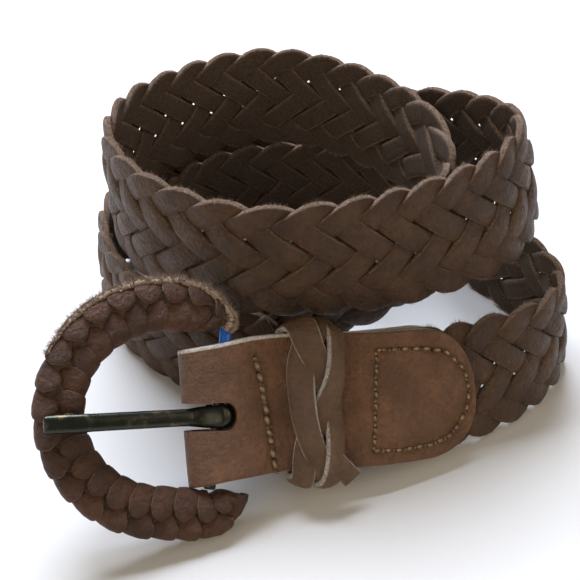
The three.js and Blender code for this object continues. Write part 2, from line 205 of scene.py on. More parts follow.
def spline(points, share, centripetal=True):
    """A Catmull-Rom curve through points, read at shares of it from 0 to 1."""
    last = len(points) - 1
    ends = np.vstack([2 * points[0] - points[1], points, 2 * points[-1] - points[-2]])
    place = np.clip(share, 0, 1) * last
    row = np.minimum(place.astype(int), last - 1)
    w = (place - row)[:, None]
    p0, p1, p2, p3 = ends[row], ends[row + 1], ends[row + 2], ends[row + 3]
    if centripetal:
        d0, d1, d2 = (
            np.sqrt(np.linalg.norm(b - a, axis=1, keepdims=True))
            for a, b in ((p0, p1), (p1, p2), (p2, p3))
        )
        m1 = ((p1 - p0) / d0 - (p2 - p0) / (d0 + d1) + (p2 - p1) / d1) * d1
        m2 = ((p2 - p1) / d1 - (p3 - p1) / (d1 + d2) + (p3 - p2) / d2) * d1
    else:
        m1, m2 = (p2 - p0) / 2, (p3 - p1) / 2
    return p1 + m1 * w + (3 * (p2 - p1) - 2 * m1 - m2) * w**2 + (2 * (p1 - p2) + m1 + m2) * w**3


def unit(vectors):
    """Vectors scaled to length 1."""
    return vectors / np.linalg.norm(vectors, axis=-1, keepdims=True)


def lengths_along(points):
    """The distance travelled at each point of a polyline."""
    steps = np.linalg.norm(np.diff(points, axis=0), axis=1)
    return np.concatenate([[0], np.cumsum(steps)])


def columns(values, table, at):
    """Each column of a table, read at values of its first coordinate."""
    return np.stack([np.interp(values, at, table[:, k]) for k in range(table.shape[1])], -1)


turn = np.radians(route[:, 0])
lean_out = strap_width * np.sin(np.radians(route[:, 4]))
edge_radius = coil_radius * route[:, 1] + layer * route[:, 2] + lean_out
edge_rows = np.stack(
    [edge_radius * np.cos(turn), edge_radius * np.sin(turn), lift * route[:, 3]], -1
)
route_samples = 12001
fine = np.linspace(0, 1, route_samples)
lower_edge = spline(edge_rows, fine)
edge_along = unit(np.gradient(lower_edge, axis=0))
edge_lean = spline(np.stack([route[:, 4], np.arange(len(route))], -1), fine, False)[:, 0]
edge_station = lengths_along(lower_edge)
strap_length = edge_station[-1]


def strap_frame(station):
    """The band's middle at distances from the fold, and its directions along, across and out."""
    inside = np.clip(station, 0, strap_length)
    along = unit(columns(inside, edge_along, edge_station))
    lean = np.radians(np.interp(inside, edge_station, edge_lean))[..., None]
    outward = unit(np.stack([along[..., 1], -along[..., 0], np.zeros_like(inside)], -1))
    across = np.array([0, 0, 1]) * np.cos(lean) - outward * np.sin(lean)
    across = unit(across - along * np.sum(along * across, -1, keepdims=True))
    out = np.cross(along, across)
    middle = columns(inside, lower_edge, edge_station) + across * strap_width / 2
    middle += along * (station - inside)[..., None]
    return middle, along, across, out


bar_middle, bar_along, bar_across, bar_out = (
    a[0] for a in strap_frame(np.array([float(bar_station)]))
)
coil_origin = np.array(bar_middle_in_frame) / MM - bar_middle


def on_strap(place):
    """Points given as (station, outwards, widthwise) in millimetres, bent onto the band."""
    middle, along, across, out = strap_frame(place[..., 0])
    bent = middle + out * place[..., 1:2] + across * place[..., 2:3]
    return (bent + coil_origin) * MM


camera_place = np.array([2.9, -232.6, 188.7])
camera_pitch = 38.4
focal_pixels = 900
photo_pixels = 580

camera_data = bpy.data.cameras.new("camera")
camera_data.sensor_width = 36
camera_data.lens = camera_data.sensor_width * focal_pixels / photo_pixels
camera_data.clip_start = 0.01
camera = bpy.data.objects.new("camera", camera_data)
bpy.context.scene.collection.objects.link(camera)
camera.location = Vector((camera_place + coil_origin) * MM)
camera.rotation_euler = (math.radians(90 - camera_pitch), 0, 0)
bpy.context.scene.camera = camera

# The braid
# Seven flat strips of waxed leather, 6.5 mm wide and 2 mm thick, grain side out.
# Each crosses under one, over two, under two and over one, then turns back at the edge.

strip_count = 7
strip_width = 6.5
strip_thickness = 2.0
strip_lift = 1.2
braid_start = 52
braid_pitch = 11.5
edge_turn = 6.0
section_step = 0.8

pitches = round((strap_length - braid_start) / braid_pitch)
pitch = (strap_length - braid_start) / pitches
period = strip_count * pitch


def strip_section(width, thickness, crown=0.14):
    """A cut strip's section as (across, out) points, and how far each is from the grain side:
    0 on the grain, 1 on a cut edge and 2 on the suede back."""
    a, b = width / 2, thickness / 2
    grain = [(-a + 0.5, b), (-a / 2, b + 0.8 * crown), (0, b + crown), (a / 2, b + 0.8 * crown)]
    right = [(a - 0.5, b), (a - 0.14, b - 0.2), (a, b - 0.55), (a, 0.45 - b), (a - 0.15, 0.1 - b)]
    back = [(a / 2, -b), (0, -b), (-a / 2, -b)]
    left = [(-a + 0.15, 0.1 - b), (-a, 0.45 - b), (-a, b - 0.55), (-a + 0.14, b - 0.2)]
    side = [0, 0, 0, 0] + [0, 0.7, 1, 1, 1.2] + [2, 2, 2] + [1.2, 1, 1, 0.7]
    return np.array(grain + right + back + left), np.array(side, float)


def wave(seed, positions, scale):
    """Slow, repeatable unevenness of handwork, from -1 to 1, with bends about scale apart."""
    total = np.zeros_like(positions)
    for k in range(1, 4):
        total += np.sin(positions * 2 * np.pi / (scale * 1.7 / k) + seed * (2.3 + 1.9 * k)) / k
    return total / 1.84


def rings_along(path, section, roll=0):
    """A section set square to a flat path of (station, outwards, widthwise) points."""
    along = unit(np.gradient(path, axis=0))
    side = unit(np.stack([-along[:, 2], np.zeros(len(path)), along[:, 0]], -1))
    face = np.cross(side, along)
    face *= np.sign(face[:, 1:2])
    angle = np.broadcast_to(roll, len(path))[:, None]
    turned_side = side * np.cos(angle) + face * np.sin(angle)
    turned_face = face * np.cos(angle) - side * np.sin(angle)
    across, out = section[..., 0], section[..., 1]
    return (
        path[:, None]
        + turned_side[:, None] * across[..., None]
        + turned_face[:, None] * out[..., None]
    )


def skin(name, rings, side=None, loop=False):
    """A closed skin through rings of points. A grid is added, rolled onto the rings and welded.
    Its UV runs round the ring from 0 to 1, and along the piece in metres."""
    if loop:
        rings = np.concatenate([rings, rings[:1]])
    rings = np.concatenate([rings, rings[:, :1]], axis=1)
    rows, around = rings.shape[:2]
    bpy.ops.object.select_all(action="DESELECT")
    bpy.ops.mesh.primitive_grid_add(x_subdivisions=around - 1, y_subdivisions=rows - 1)
    piece = bpy.context.object
    piece.name = piece.data.name = name
    mesh = piece.data
    mesh.vertices.foreach_set("co", rings.astype(np.float32).ravel())
    far = lengths_along(rings.mean(axis=1))
    u, v = np.meshgrid(np.linspace(0, 1, around), far)
    corners = np.empty(len(mesh.loops), int)
    mesh.loops.foreach_get("vertex_index", corners)
    uv = np.stack([u.ravel()[corners], v.ravel()[corners]], -1)
    mesh.uv_layers[0].data.foreach_set("uv", uv.astype(np.float32).ravel())
    if side is not None:
        flesh = mesh.attributes.new("flesh", "FLOAT", "POINT")
        sides = np.broadcast_to(side, (rows, around - 1))
        round_side = np.concatenate([sides, sides[:, :1]], axis=1)
        flesh.data.foreach_set("value", round_side.astype(np.float32).ravel())
    bpy.ops.object.mode_set(mode="EDIT")
    bpy.ops.mesh.select_all(action="SELECT")
    bpy.ops.mesh.remove_doubles(threshold=1e-6)
    bpy.ops.mesh.fill_holes(sides=0)
    bpy.ops.mesh.select_all(action="SELECT")
    bpy.ops.mesh.normals_make_consistent(inside=False)
    bpy.ops.object.mode_set(mode="OBJECT")
    bpy.ops.object.shade_smooth()
    return piece


def finish_piece(piece, material, body):
    """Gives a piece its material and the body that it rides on."""
    piece.data.materials.clear()
    piece.data.materials.append(material)
    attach(piece, body)


def leather(name, grain, mottle_and_crease_shade, cut, back, gloss, grain_size=0.7, relief=0.05):
    """Chrome-tanned cowhide, waxed: a satin grain side that breaks light up in fine pebbles,
    mottled where wax sits, with the pebbles' creases painted darker as painted shade, and dull,
    fibrous suede on the cut edges, paler there, and on the back.
    grain_size is the pebbles' size and relief their depth, in millimetres."""
    material, tree, shader = new_material(name)
    place = add(tree, "ShaderNodeTexCoord").outputs["Object"]
    flesh = add(tree, "ShaderNodeAttribute", attribute_name="flesh").outputs["Fac"]

    def cloud(size, detail, roughness=0.6):
        settings = {"Vector": place, "Scale": 1 / (size * MM), "Detail": detail}
        settings["Roughness"] = roughness
        return add(tree, "ShaderNodeTexNoise", settings).outputs["Fac"]

    def between(value, low, high, to_low=0.0, to_high=1.0):
        settings = {"Value": value, "From Min": low, "From Max": high}
        settings.update({"To Min": to_low, "To Max": to_high})
        return add(tree, "ShaderNodeMapRange", settings).outputs["Result"]

    def mixed(share, first, second):
        return add(
            tree, "ShaderNodeMix", {0: share, 6: first, 7: second}, data_type="RGBA"
        ).outputs[2]

    cells = add(
        tree,
        "ShaderNodeTexVoronoi",
        {"Vector": place, "Scale": 1 / (grain_size * MM), "Randomness": 1.0},
        feature="SMOOTH_F1",
    ).outputs["Distance"]
    wrinkles = between(cloud(1.9 * grain_size, 5, 0.7), 0.35, 0.65)
    pebbles = add(
        tree, "ShaderNodeMix", {0: 0.6, 2: cells, 3: wrinkles}, data_type="FLOAT"
    ).outputs[0]
    mottle = between(cloud(9, 4), 0.35, 0.65)
    grain_colour = mixed(mottle, linear(mottle_and_crease_shade), linear(grain))
    # The pebbles' creases are painted darker, towards the darker tone: painted shade that shows the
    # grain whatever the light.
    grain_colour = mixed(between(pebbles, 0.2, 0.55, 0.25, 1.0), linear(mottle_and_crease_shade), grain_colour)
    fibres = cloud(0.5, 3, 0.8)
    cut_colour = mixed(between(fibres, 0.3, 0.7), linear(back), linear(cut))
    is_cut = between(flesh, 0.35, 0.9)
    is_back = between(flesh, 1.1, 1.6)
    colour = mixed(is_cut, grain_colour, cut_colour)
    back_colour = mixed(between(fibres, 0.25, 0.75, 0.0, 0.45), linear(back), linear(cut))
    colour = mixed(is_back, colour, back_colour)
    tree.links.new(colour, shader.inputs["Base Color"])

    satin = between(cloud(2.5, 3), 0.3, 0.7, gloss - 0.08, gloss + 0.1)
    rough = add(tree, "ShaderNodeMix", {0: is_cut, 2: satin, 3: 0.95}, data_type="FLOAT")
    tree.links.new(rough.outputs[0], shader.inputs["Roughness"])
    shader.inputs["IOR"].default_value = 1.42

    height = add(
        tree, "ShaderNodeMix", {0: is_cut, 2: pebbles, 3: fibres}, data_type="FLOAT"
    ).outputs[0]
    depth = between(is_cut, 0, 1, relief * MM, 0.25 * MM)
    bump = add(tree, "ShaderNodeBump", {"Height": height, "Distance": depth, "Strength": 1.0})
    tree.links.new(bump.outputs["Normal"], shader.inputs["Normal"])
    return material


# The braid's back colour, #1d1510, is painted near-black: painted shade for the inside of the coil
# and the gaps between the strips.
braid_leather = leather(
    "waxed brown strip leather", "#5a3d22", "#402b18", "#957a62", "#1d1510", 0.44, 1.1, 0.7
)

# Heights of a strip at each seventh of its way across and back: 1 is over, -1 is under.
crossings = [0, -1, 1, 1, -1, -1, 1, 0, -1, 1, 1, -1, -1, 1]
half_way = period / 2
smooth_samples = 1400
crossing_place = np.arange(smooth_samples) / smooth_samples * len(crossings)
crossing_height = np.interp(
    crossing_place, np.arange(len(crossings) + 1), crossings + crossings[:1]
)
bow = np.hanning(2 * smooth_samples // len(crossings) + 1)
bow /= bow.sum()
wrapped = np.concatenate([crossing_height] * 3)
crossing_height = np.convolve(wrapped, bow, "same")[smooth_samples : 2 * smooth_samples]
crossing_height /= crossing_height.max()


def strip_path(strip):
    """One strip's middle line on the unrolled band, as (station, outwards, widthwise)."""
    station = np.arange(braid_start + 0.5, strap_length - 0.3, section_step)
    cycle = ((station - braid_start) / pitch - 0.75 - strip) / strip_count % 1
    reach = (strap_width - strip_width) / 2
    slope = 2 * reach / (half_way - edge_turn)
    peak = reach + slope * edge_turn / 2
    zigzag = peak * (1 - 4 * np.abs(cycle - 0.5))
    from_turn = (0.5 - np.abs(np.abs(cycle - 0.5) * 2 - 0.5)) * half_way
    soften = np.clip(1 - from_turn / edge_turn, 0, 1) ** 2
    widthwise = zigzag - np.sign(zigzag) * slope * edge_turn / 2 * soften
    height = strip_lift * np.interp(
        cycle * smooth_samples, np.arange(smooth_samples), crossing_height
    )
    widthwise += 0.22 * wave(strip + 1, station, 60)
    height += 0.1 * wave(strip + 5, station, 45)
    return np.stack([station, height, widthwise], -1)


for strip in range(strip_count):
    path = strip_path(strip)
    section, side = strip_section(strip_width, strip_thickness, crown=0.3)
    rings = rings_along(path, section)
    ragged = np.random.default_rng(strip).normal(0, 0.07, rings.shape)
    rings += ragged * np.minimum(side, 1)[None, :, None]
    piece = skin(f"braid_strip_{strip + 1}", on_strap(rings), side)
    finish_piece(piece, braid_leather, "strap")
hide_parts("braided_strap")

# The raw edges of the outer turns are fuzzy with torn fibres, about a millimetre long.

fibre_sides = 3
fibre_length = 1.5
fibre_radius = 0.06
fibres_per_strip = 3600
fringe_from = 10.2


def joined(name, parts):
    """Several meshes made one piece."""
    bpy.ops.object.select_all(action="DESELECT")
    for part in parts:
        part.select_set(True)
    bpy.context.view_layer.objects.active = parts[0]
    bpy.ops.object.join()
    parts[0].name = parts[0].data.name = name
    return parts[0]


def fibres(name, roots, direction, length, radius, seed):
    """Short tapered fibres standing on an edge, as one mesh of closed three-sided spikes.
    roots and direction are in metres, and length and radius in millimetres."""
    random = np.random.default_rng(seed)
    count = len(roots)
    lean = unit(direction + random.normal(0, 0.45, (count, 3)))
    side = unit(np.cross(lean, random.normal(0, 1, (count, 3))))
    other = np.cross(lean, side)
    tall = length * MM * random.uniform(0.35, 1, (count, 1))
    corners = [roots + lean * tall]
    for k in range(fibre_sides):
        angle = 2 * np.pi * k / fibre_sides
        ring = side * math.cos(angle) + other * math.sin(angle)
        corners.append(roots - lean * tall * 0.2 + ring * radius * MM)
    points = np.stack(corners, 1).reshape(-1, 3)
    faces = []
    for k in range(count):
        top, a, b, c = range(4 * k, 4 * k + 4)
        faces += [(top, a, b), (top, b, c), (top, c, a), (c, b, a)]
    mesh = bpy.data.meshes.new(name)
    mesh.from_pydata(points.tolist(), [], faces)
    flesh = mesh.attributes.new("flesh", "FLOAT", "POINT")
    flesh.data.foreach_set("value", np.ones(len(points), np.float32))
    piece = bpy.data.objects.new(name, mesh)
    bpy.context.scene.collection.objects.link(piece)
    return piece


tufts = []
for strip in range(strip_count):
    path = strip_path(strip)
    random = np.random.default_rng(20 + strip)
    outer = np.flatnonzero(np.abs(path[:, 2]) > fringe_from)
    chosen = path[random.choice(outer, fibres_per_strip)]
    chosen[:, 0] += random.uniform(-0.4, 0.4, len(chosen))
    middle, along, across, out = strap_frame(chosen[:, 0])
    outwards = np.sign(chosen[:, 2:3])
    edge = np.stack([
        chosen[:, 0],
        chosen[:, 1] + random.uniform(-0.9, 0.3, len(chosen)),
        chosen[:, 2] + outwards[:, 0] * (strip_width / 2 - 0.1),
    ], -1)
    tufts.append(fibres(
        f"tuft_{strip}", on_strap(edge), across * outwards, fibre_length, fibre_radius, strip
    ))
torn_fibres = leather(
    "torn suede fibres", "#a58d78", "#8c745f", "#b39d88", "#8c745f", 0.9
)
fuzz = joined("edge_fibres", tufts)
finish_piece(fuzz, torn_fibres, "strap")

# The buckle ring
# A metal D laced over with 20 pairs of leather leaves that meet on a spine in front, so no
# metal shows. The lacing's raw upper edge stands up as a pale fuzzy rim and curls to the bar.

fold_width = 34
buckle_turn = math.radians(16)
ring_reach = 38.9
ring_straight = 12.8
ring_thickness = 6.6
ring_side_width = 11.9
ring_far_width = 11.4
ring_end_width = 8
ring_toe = 2.2
ring_heel = 5.4
side_gap = 0.8
leaf_pairs = 20
ring_bare = 1.9
leaf_thickness = 1.05

ring_inner_half = (
    fold_width / 2 * math.cos(buckle_turn) + bar_station * math.sin(buckle_turn) + side_gap
)
ring_end_radius = ring_side_width / 2
ring_middle_half = ring_inner_half + ring_end_radius


def turned_frame(angle):
    """X along the strap and Y along the crossbar, turned in the buckle's plane by an angle."""
    x = bar_along * math.cos(angle) - bar_across * math.sin(angle)
    y = bar_across * math.cos(angle) + bar_along * math.sin(angle)
    return x, y


buckle_x, buckle_y = turned_frame(buckle_turn)


def on_buckle(place, x=buckle_x, y=buckle_y):
    """Points in the buckle's own frame, in metres: X along the strap, Y along the crossbar
    and Z out of the front, from the crossbar's middle."""
    turned = place[..., :1] * x + place[..., 1:2] * y + place[..., 2:3] * bar_out
    return (turned + bar_middle + coil_origin) * MM


def arc(centre, radii, start, end, steps):
    """Points of part of an ellipse, from one angle in degrees to another."""
    angle = np.radians(np.linspace(start, end, steps))
    return np.stack(
        [centre[0] + radii[0] * np.cos(angle), centre[1] + radii[1] * np.sin(angle)], -1
    )


upper_bend = (-ring_toe - ring_end_radius, ring_inner_half)
lower_bend = (ring_heel - ring_end_radius, -ring_inner_half)
ring_line = np.concatenate([
    arc(upper_bend, (ring_end_radius,) * 2, 0, 90, 60),
    arc((-ring_straight, 0), (ring_reach - ring_straight, ring_middle_half), 90, 270, 600),
    arc(lower_bend, (ring_end_radius,) * 2, 270, 360, 60),
])
ring_travel = lengths_along(ring_line)
ring_length = ring_travel[-1]
ring_run = unit(np.gradient(ring_line, axis=0))


def eased(value, low, high):
    """A smooth step from 0 to 1."""
    share = np.clip((value - low) / (high - low), 0, 1)
    return share * share * (3 - 2 * share)


def on_ring(travel, turn, rise):
    """Points on the ring's leather: travel in mm along the ring from its upper end, turn in
    degrees round its section (0 inside the D, 90 in front, 180 outside), rise in mm off it."""
    middle = columns(travel, ring_line, ring_travel)
    run = unit(columns(travel, ring_run, ring_travel))
    inward = np.stack([-run[..., 1], run[..., 0]], -1)
    from_end = np.minimum(travel, ring_length - travel) / ring_length
    grown = eased(from_end, 0, 0.12)
    side = ring_side_width + (ring_far_width - ring_side_width) * eased(from_end, 0.25, 0.5)
    half_width = (ring_end_width + (side - ring_end_width) * grown) / 2
    cosine, sine = np.cos(np.radians(turn)), np.sin(np.radians(turn))
    across = np.sign(cosine) * np.abs(cosine) ** 0.75 * half_width
    front = np.sign(sine) * np.abs(sine) ** 0.75 * ring_thickness / 2
    flat = middle + inward * (across + rise * cosine)[..., None]
    return np.concatenate([flat, (front + rise * sine)[..., None]], -1)


lacing_leather = leather(
    "reddish waxed lacing leather", "#5e3c23", "#422a18", "#957a63", "#2a1e17", 0.56, 1.0, 0.8
)


def leaf(name, travel, turns, slant, width, tip, lift_edge, tip_rise, crown):
    """One leaf of the lacing, from the back of the ring round one side to the spine.
    turns is its start and end round the section, and slant its travel meanwhile. lift_edge
    raises its later edge over its neighbour, and tip_rise its end over the other row's."""
    rows = 24
    share = np.linspace(0, 1, rows)
    turn = turns[0] + (turns[1] - turns[0]) * share
    section, side = strip_section(width, leaf_thickness, crown)
    narrow = np.where(share > 1 - tip, np.clip((1 - share) / tip, 0.02, 1) ** 0.42, 1)
    narrow *= 0.86 + 0.14 * np.sin(np.pi * np.clip(share * 1.1, 0, 1))
    across = section[None, :, 0] * narrow[:, None]
    rise = section[None, :, 1] * np.clip(narrow, 0.5, 1)[:, None] - leaf_thickness / 2
    tilt = lift_edge * across / width
    rise = rise + tilt + (tip_rise * eased(share, 0.72, 1))[:, None]
    along = travel + slant * (share - 1)[:, None] + across
    along = np.clip(along, ring_bare, ring_length - 0.2)
    rings = on_ring(along, np.broadcast_to(turn[:, None], along.shape), rise)
    return skin(name, on_buckle(rings), side)


lacing = []
leaf_pitch = ring_length / leaf_pairs
for k in range(leaf_pairs):
    travel = (k + 0.5) * leaf_pitch
    share = travel / ring_length
    lower = eased(share, 0.42, 0.62)
    uneven = float(wave(k * 0.7 + 1, np.array([travel]), 9)[0])
    spine = 93 + 6 * lower
    lacing.append(leaf(
        f"outer_{k}", travel + 1.2, (262, spine - 14 * lower), 4.6 - 1.4 * lower,
        leaf_pitch * 1.38 + 0.3 * uneven, 0.2, 1.5, 0.45 - 1.0 * lower, 0.35,
    ))
    lacing.append(leaf(
        f"inner_{k}", travel - 0.6, (-80, spine + 12 * (1 - lower)),
        -4.2 + 1.2 * eased(share, 0.8, 1),
        leaf_pitch * 1.34 - 0.3 * uneven, 0.12, -0.9, -0.75 + 1.2 * lower, 0.4,
    ))
core_travel = np.linspace(ring_bare + 0.3, ring_length - 0.3, 160)
core_turn = np.arange(0, 360, 15)
core = on_ring(
    np.repeat(core_travel[:, None], len(core_turn), 1),
    np.repeat(core_turn[None].astype(float), len(core_travel), 0),
    np.full((len(core_travel), len(core_turn)), -0.95),
)
lacing.append(skin("core", on_buckle(core), np.full(len(core_turn), 2.0)))

# Each arm's end is closed by the lacing's last turn, drawn tight into a rounded pad.
pad_turn, pad_round = np.radians(np.linspace(4, 176, 14)), np.radians(np.arange(0, 360, 15))
for travel in (ring_bare + 1.7, ring_length - 1.7):
    run = columns(np.array([travel]), ring_run, ring_travel)[0]
    centre = columns(np.array([travel]), ring_line, ring_travel)[0]
    inward = np.array([-run[1], run[0]])
    along = 1.9 * np.cos(pad_turn)[:, None]
    across = (ring_end_width / 2 + 0.5) * np.sin(pad_turn)[:, None] * np.cos(pad_round)
    front = (ring_thickness / 2 + 0.4) * np.sin(pad_turn)[:, None] * np.sin(pad_round)
    flat = centre + along[..., None] * run + across[..., None] * inward
    pad = np.concatenate([flat, front[..., None]], -1)
    lacing.append(skin("pad", on_buckle(pad), np.zeros(len(pad_round))))

# The rim: the lacing's raw edge, along the upper arm's outer side, which widens at the arm's
# end and curls over it as a suede flap down to the crossbar.
rim_start, rim_full, rim_end = 3, 14, 46
rim_steps = 70
rim_rise = 0.5
rim_travel = np.linspace(rim_start, rim_end, rim_steps)
rim_turn = 158 - 22 * (1 - eased(rim_travel, rim_start, rim_full))
rim_base = on_ring(rim_travel, rim_turn, np.full(rim_steps, rim_rise))
rim_base += 0.14 * np.stack([wave(k, rim_travel, 4) for k in (3, 6, 8)], -1)
flap_corners = np.array([(-0.5, 20.9, 1.8), (0.2, 22.3, 2.8)])
rim_path = spline(np.concatenate([flap_corners, rim_base[::3]]), np.linspace(0, 1, 160))
rim_far = lengths_along(rim_path)
rim_width = 1.9 + 2.2 * np.exp(-((rim_far - 2) / 3.0) ** 2)
rim_width *= 1 - 0.75 * eased(rim_far, rim_far[-1] - 14, rim_far[-1])
rim_run = unit(np.gradient(rim_path, axis=0))
rim_side = unit(np.cross(rim_run, np.array([0, 0, 1.0])))
rim_face = np.cross(rim_side, rim_run)
section, side = strip_section(1, 0.9, crown=0.2)
rim_rings = (
    rim_path[:, None]
    + rim_side[:, None] * (section[:, :1] * rim_width[:, None, None])
    + rim_face[:, None] * section[:, 1:2]
)
random = np.random.default_rng(9)
rim_rings += random.normal(0, 0.16, rim_rings.shape)
rim = skin("rim", on_buckle(rim_rings), np.ones(len(side)))
rim_fibre_count = 2500
rooted = random.integers(0, len(rim_path), rim_fibre_count)
rim_roots = rim_path[rooted] + rim_side[rooted] * (
    random.uniform(-0.5, 0.5, (len(rooted), 1)) * rim_width[rooted, None]
)
from_ring = unit(rim_path[rooted] - (-ring_straight, 0, -12))
rim_grow = on_buckle(rim_roots + from_ring) - on_buckle(rim_roots)
rim_fibres = fibres("rim_fibres", on_buckle(rim_roots), unit(rim_grow), 2.2, 0.07, 9)
rim = joined("lacing_rim", [rim, rim_fibres])
finish_piece(rim, torn_fibres, "buckle")
ring = joined("ring_lacing", lacing)
finish_piece(ring, lacing_leather, "buckle")
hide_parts("buckle_wrap")

# The crossbar
# A straight steel rod, 3 mm thick, coated with glossy blue enamel at its upper end, where it
# runs on into the arm. In the fold it is painted near-black, painted shade for the dark slot.
# It shows blue beside the fold's corner.

bar_radius = 1.5
enamel_from = 12
bar_into_arm = 2.4
bar_half_length = ring_inner_half - 0.3 + bar_into_arm / 2
bar_shift = bar_into_arm / 2


def blue_enamel():
    """Baked enamel: even, opaque and glossy, with a little orange peel from the dipping.
    Below its upper end the bar is painted near-black instead, as painted shade in the fold.
    """
    material, tree, shader = new_material("blue baked enamel")
    place = add(tree, "ShaderNodeTexCoord").outputs["Object"]
    peel_size = 1.2 * MM
    peel = add(tree, "ShaderNodeTexNoise", {"Vector": place, "Scale": 1 / peel_size})
    enamel = add(tree, "ShaderNodeMix", {
        0: peel.outputs["Fac"], 6: linear("#0f5cc8"), 7: linear("#2479dc"),
    }, data_type="RGBA").outputs[2]
    reach = add(tree, "ShaderNodeVectorMath", {0: place, 1: tuple(buckle_y)}, operation="DOT_PRODUCT")
    start = float(np.dot(buckle_y, bar_middle + coil_origin)) + enamel_from
    enamel_past_painted_shade = add(tree, "ShaderNodeMapRange", {
        "Value": reach.outputs["Value"], "From Min": start * MM, "From Max": (start + 1) * MM,
    }).outputs["Result"]
    # Below enamel_from the bar is painted near-black, #25211d: painted shade in the fold and the
    # slot, where the blue would otherwise show.
    tone = add(tree, "ShaderNodeMix", {0: enamel_past_painted_shade, 6: linear("#25211d"), 7: enamel}, data_type="RGBA")
    tree.links.new(tone.outputs[2], shader.inputs["Base Color"])
    shader.inputs["Roughness"].default_value = 0.28
    bump = add(tree, "ShaderNodeBump", {
        "Height": peel.outputs["Fac"], "Distance": 0.04 * MM, "Strength": 1.0,
    })
    tree.links.new(bump.outputs["Normal"], shader.inputs["Normal"])
    return material


bpy.ops.object.select_all(action="DESELECT")
bpy.ops.mesh.primitive_cylinder_add(vertices=40, radius=bar_radius, depth=2 * bar_half_length)
bar = bpy.context.object
bar.name = bar.data.name = "enamelled_bar"
bevel = bar.modifiers.new("round ends", "BEVEL")
bevel.width = 0.4
bevel.segments = 3
bpy.ops.object.modifier_apply(modifier=bevel.name)
bar_points = np.array([v.co[:] for v in bar.data.vertices])
bar_points = on_buckle(
    np.stack([bar_points[:, 0], bar_points[:, 2] + bar_shift, -bar_points[:, 1]], -1)
)
bar.data.vertices.foreach_set("co", bar_points.astype(np.float32).ravel())
bpy.ops.object.shade_smooth_by_angle(angle=math.radians(40))
finish_piece(bar, blue_enamel(), "buckle")
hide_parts("crossbar")

# The prong
# One piece of steel wire, beaten nearly flat and blackened. It is bent round the crossbar into
# a fat eye, and kinks up where it comes to lie on the ring. Handling has bared its top.

prong_turn = math.radians(9)
prong_middle = -0.9
prong_width = 4.3
prong_thickness = 2.8
eye_width = 5.7
eye_wall = 1.3
eye_middle = 2.85
prong_reach = 42.7
rest_height = 5.0

prong_x, prong_y = turned_frame(prong_turn)
eye_turn = np.radians(np.array([-30, -62, -95, -128, -160, -192, -224, -250, -270]))
eye_rows = np.stack([
    -eye_middle * np.cos(eye_turn),
    eye_middle * np.sin(eye_turn),
    np.full(len(eye_turn), eye_width),
    np.full(len(eye_turn), eye_wall),
], -1)
# Along as a share of the reach, rise of the rest height, widening from the prong to the eye,
# and thickness as a share.
shank_rows = np.array([
    (0.07, 0.36, 0.85, 0.6),
    (0.12, 0.2, 0.5, 0.95),
    (0.165, 0.2, 0.15, 1),
    (0.195, 0.25, 0, 1),
    (0.45, 0.55, 0, 1),
    (0.72, 0.91, 0, 1),
    (0.79, 1, 0.1, 1),
    (0.95, 1, 0.05, 1),
    (1, 1, -0.25, 0.85),
])
shank = np.stack([
    -prong_reach * shank_rows[:, 0],
    rest_height * shank_rows[:, 1],
    prong_width + (eye_width - prong_width) * shank_rows[:, 2],
    prong_thickness * shank_rows[:, 3],
], -1)
prong_steps = 200
end_share = np.linspace(0, 1, prong_steps)
prong_rows = spline(np.concatenate([eye_rows, shank]), end_share, False)
prong_run = unit(np.gradient(prong_rows[:, :2], axis=0))
round_turn = np.radians(np.arange(0, 360, 11.25))
squareness = 0.95 - 0.12 * eased(end_share, 0.4, 0.62)[:, None]
flat_across = np.sign(np.cos(round_turn)) * np.abs(np.cos(round_turn)) ** squareness
flat_high = np.sign(np.sin(round_turn)) * np.abs(np.sin(round_turn)) ** squareness
blunt = np.sqrt(np.clip(1 - np.clip(1 - (1 - end_share) / 0.012, 0, 1) ** 2, 0.05, 1))
eye_crown = 0.9 * (1 - eased(end_share, 0.34, 0.55)) * np.clip(end_share / 0.1, 0, 1)
high = prong_rows[:, 3:4] / 2 * flat_high * blunt[:, None]
high = high + eye_crown[:, None] * np.maximum(np.sin(round_turn), 0) ** 2
wide = prong_rows[:, 2:3] / 2 * flat_across * blunt[:, None]
prong_points = np.stack([
    prong_rows[:, :1] + prong_run[:, 1:2] * high,
    prong_middle + wide,
    prong_rows[:, 1:2] - prong_run[:, :1] * high,
], -1)


def blackened_steel():
    """Steel blackened in a hot bath: a thin dark teal oxide skin with a soft gloss, rubbed
    through to warm bare metal on the ridges."""
    material, tree, shader = new_material("blackened steel")
    place = add(tree, "ShaderNodeTexCoord").outputs["Object"]
    worn = add(tree, "ShaderNodeTexNoise", {
        "Vector": place, "Scale": 1 / (3.5 * MM), "Detail": 6, "Roughness": 0.7,
    }).outputs["Fac"]
    ridge = add(tree, "ShaderNodeNewGeometry").outputs["Pointiness"]
    bared = add(tree, "ShaderNodeMapRange", {
        "Value": add(tree, "ShaderNodeMath", {0: worn, 1: ridge}, operation="MULTIPLY").outputs[0],
        "From Min": 0.28, "From Max": 0.42,
    }).outputs["Result"]
    tone = add(tree, "ShaderNodeMix", {
        0: bared, 6: linear("#3a3b33"), 7: linear("#85734c"),
    }, data_type="RGBA").outputs[2]
    tree.links.new(tone, shader.inputs["Base Color"])
    shader.inputs["Metallic"].default_value = 0.9
    rough = add(tree, "ShaderNodeMapRange", {
        "Value": worn, "From Min": 0.3, "From Max": 0.7, "To Min": 0.22, "To Max": 0.42,
    }).outputs["Result"]
    tree.links.new(rough, shader.inputs["Roughness"])
    bump = add(tree, "ShaderNodeBump", {"Height": worn, "Distance": 0.06 * MM, "Strength": 1.0})
    tree.links.new(bump.outputs["Normal"], shader.inputs["Normal"])
    return material


